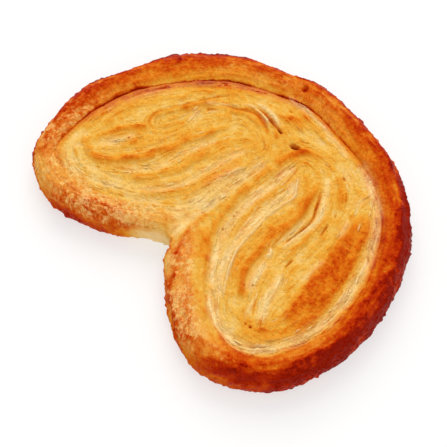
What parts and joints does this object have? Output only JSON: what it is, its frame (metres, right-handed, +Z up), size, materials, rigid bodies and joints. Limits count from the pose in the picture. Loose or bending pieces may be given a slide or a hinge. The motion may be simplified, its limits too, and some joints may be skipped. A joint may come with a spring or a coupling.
{
  "type": "palmier pastry",
  "caption": "Heart-shaped palmier of rolled puff pastry: coiled lobes inside a browned raised crust, joined down the middle.",
  "frame": {"origin": "bottom centre of the pastry's box, on the surface it lies on", "axes": "+X across both lobes, +Y towards the rounded back, away from the notch, +Z up out of the browned top"},
  "size_m": [0.1216, 0.0936, 0.0145],
  "materials": {
    "baked_pastry": "baked puff pastry: golden yellow layers inside, orange-brown crust outside, satin with sugar glaze on the crust"
  },
  "bodies": {
    "root": {"palmier": "baked_pastry"}
  },
  "joints": []
}
